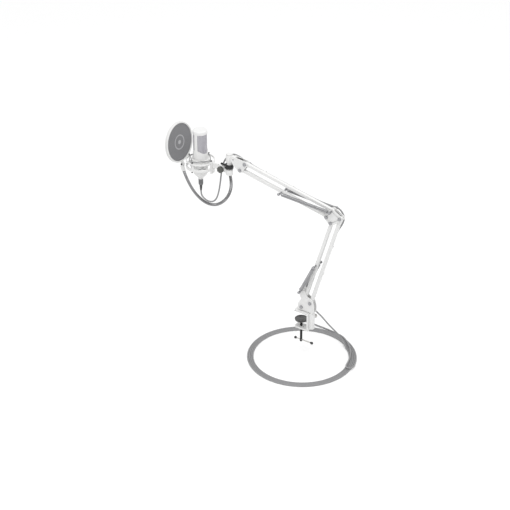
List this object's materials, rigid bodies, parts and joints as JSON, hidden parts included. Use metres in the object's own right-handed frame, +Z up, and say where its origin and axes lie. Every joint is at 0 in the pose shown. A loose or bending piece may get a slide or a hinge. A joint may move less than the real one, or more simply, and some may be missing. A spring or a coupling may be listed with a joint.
{
  "type": "desktop microphone",
  "caption": "Desk-clamped sprung scissor arm carrying a condenser microphone in an elastic shock mount, with a pop filter on a gooseneck and its coiled lead.",
  "frame": {"origin": "on the axis of the clamp screw, in the plane of the upper jaw's face that rests on the desk top", "axes": "+Z up, the arm reaches towards -X in the plane y = 0, the lead runs on the +Y side of the arm"},
  "size_m": [0.655, 0.3595, 0.6815],
  "materials": {
    "white_paint": "satin powder coat",
    "white_plastic": "satin moulded",
    "black_rubber": "matt",
    "gloss_black": "glossy moulded",
    "black_steel": "black oxide",
    "black_plastic": "matt moulded",
    "knob_plastic": "fine grain",
    "bright_steel": "turned, nickel plated",
    "zinc_steel": "zinc plated",
    "spring_steel": "drawn wire, plated",
    "goose_steel": "chromed strip wound tube",
    "grey_pvc": "matt PVC jacket",
    "plug_metal": "satin nickel, darkened",
    "grille_mesh": "silver sprayed wire mesh",
    "nylon_mesh": "stretched knit nylon",
    "elastic": "braided elastic",
    "gold_brass": "turned",
    "green_board": "solder mask"
  },
  "bodies": {
    "clamp": {"clamp_frame": "white_paint", "jaw_pad": "black_rubber", "cable_drop": "grey_pvc", "cable_coil": "grey_pvc", "cable_tail": "grey_pvc", "jack_plug": "bright_steel"},
    "lock": {"lock_screw": "bright_steel"},
    "pad": {"screw_pad": "gloss_black"},
    "screw": {"clamp_screw": "black_steel"},
    "tommy": {"tommy_bar": "bright_steel"},
    "base": {"swivel_post": "bright_steel", "base_bracket": "white_paint", "base_pivots": "zinc_steel", "spring_studs": "zinc_steel", "base_cable_clip": "white_plastic", "lower_springs": "spring_steel"},
    "rear_bar": {"lower_rear_bar": "white_paint", "cable_lower_run": "grey_pvc", "lower_cable_clips": "white_plastic"},
    "front_bar": {"lower_front_bar": "white_paint", "lower_spring_pin": "zinc_steel"},
    "elbow": {"elbow_plates": "white_paint", "elbow_pivots": "zinc_steel", "cable_elbow_bend": "grey_pvc", "upper_springs": "spring_steel"},
    "top_bar": {"upper_top_bar": "white_paint", "cable_upper_run": "grey_pvc", "upper_cable_clips": "white_plastic"},
    "bottom_bar": {"upper_bottom_bar": "white_paint", "upper_spring_pin": "zinc_steel"},
    "head": {"head_plates": "white_paint", "head_pivots": "zinc_steel", "post_sleeve": "white_paint", "head_spacer": "black_plastic", "cable_mic_loop": "grey_pvc"},
    "post": {"mic_post": "white_paint", "tilt_fork": "white_paint", "tilt_bolt": "bright_steel"},
    "knob": {"tilt_knob": "knob_plastic"},
    "mount": {"mount_frame": "white_paint", "cord_hooks": "black_steel", "mic_basket": "white_paint", "elastic_cords": "elastic", "mic_body": "white_paint", "mic_cap": "white_paint", "mic_grille": "grille_mesh", "capsule": "gold_brass", "capsule_holder": "black_plastic", "circuit_board": "green_board", "xlr_socket": "black_plastic", "xlr_plug": "plug_metal", "xlr_boot": "black_rubber"},
    "pop": {"pop_clamp": "black_steel", "gooseneck": "goose_steel", "pop_fork": "white_paint", "pop_pivot_screw": "black_steel"},
    "pop_screw": {"pop_clamp_screw": "black_steel"},
    "pop_disc": {"pop_hoop_rear": "white_plastic", "pop_hoop_front": "white_plastic", "pop_meshes": "nylon_mesh"}
  },
  "joints": [
    {"name": "lock_turn", "type": "hinge", "parent": "clamp", "child": "lock", "pos_m": [0.0375, 0.016, -0.016], "axis": [0, 1, 0], "range_deg": [-180, 180]},
    {"name": "pad_feed", "type": "slide", "parent": "clamp", "child": "pad", "axis": [0, 0, 1], "range_m": [-0.0145, 0.026]},
    {"name": "screw_turn", "type": "hinge", "parent": "pad", "child": "screw", "pos_m": [0, 0, -0.07], "axis": [0, 0, 1], "range_deg": [-3470, 6230]},
    {"name": "tommy_slide", "type": "slide", "parent": "screw", "child": "tommy", "axis": [1, 0, 0], "range_m": [-0.031, 0.012]},
    {"name": "base_swivel", "type": "hinge", "parent": "clamp", "child": "base", "pos_m": [0.0375, 0, 0], "axis": [0, 0, 1], "range_deg": [-175, 175], "deforming": ["cable_drop"]},
    {"name": "lower_arm", "type": "hinge", "parent": "base", "child": "rear_bar", "pos_m": [0.035, 0, 0.0417], "axis": [0, 1, 0], "range_deg": [-50, 15]},
    {"name": "lower_front", "type": "hinge", "parent": "base", "child": "front_bar", "pos_m": [0.004, 0, 0.019], "axis": [0, 1, 0], "range_deg": [-50.5, 15.5], "deforming": ["lower_springs"]},
    {"name": "elbow_level", "type": "hinge", "parent": "rear_bar", "child": "elbow", "pos_m": [0.13269, 0, 0.36527], "axis": [0, 1, 0], "range_deg": [-15.5, 50.5], "deforming": ["cable_elbow_bend"]},
    {"name": "upper_arm", "type": "hinge", "parent": "elbow", "child": "top_bar", "pos_m": [0.104, 0, 0.3822], "axis": [0, 1, 0], "range_deg": [-35, 45]},
    {"name": "upper_bottom", "type": "hinge", "parent": "elbow", "child": "bottom_bar", "pos_m": [0.0865, 0, 0.358], "axis": [0, 1, 0], "range_deg": [-35.5, 45.5], "deforming": ["upper_springs"]},
    {"name": "head_level", "type": "hinge", "parent": "top_bar", "child": "head", "pos_m": [-0.20924, 0, 0.44764], "axis": [0, 1, 0], "range_deg": [-45.5, 35.5]},
    {"name": "mic_pan", "type": "hinge", "parent": "head", "child": "post", "pos_m": [-0.2715, 0, 0.43], "axis": [0, 0, 1], "range_deg": [-70, 100], "deforming": ["cable_mic_loop"]},
    {"name": "knob_turn", "type": "hinge", "parent": "post", "child": "knob", "pos_m": [-0.296, -0.015, 0.4086], "axis": [0, 1, 0], "range_deg": [-180, 180]},
    {"name": "mic_tilt", "type": "hinge", "parent": "post", "child": "mount", "pos_m": [-0.296, 0, 0.4086], "axis": [0, 1, 0], "range_deg": [-15, 15]},
    {"name": "pop_swing", "type": "hinge", "parent": "post", "child": "pop", "pos_m": [-0.2715, 0, 0.422], "axis": [0, 0, 1], "range_deg": [-75, 0]},
    {"name": "pop_screw_turn", "type": "hinge", "parent": "pop", "child": "pop_screw", "pos_m": [-0.3, 0, 0.422], "axis": [1, 0, 0], "range_deg": [-180, 180]},
    {"name": "pop_tilt", "type": "hinge", "parent": "pop", "child": "pop_disc", "pos_m": [-0.452, 0, 0.3795], "axis": [0, 1, 0], "range_deg": [-30, 20]}
  ],
  "couplings": [
    {"joint": "pad_feed", "follows": "screw_turn", "m_per_rad": 0.00023873},
    {"joint": "lower_front", "follows": "lower_arm", "ratio": 1},
    {"joint": "elbow_level", "follows": "lower_arm", "ratio": -1},
    {"joint": "upper_bottom", "follows": "upper_arm", "ratio": 1},
    {"joint": "head_level", "follows": "upper_arm", "ratio": -1}
  ]
}
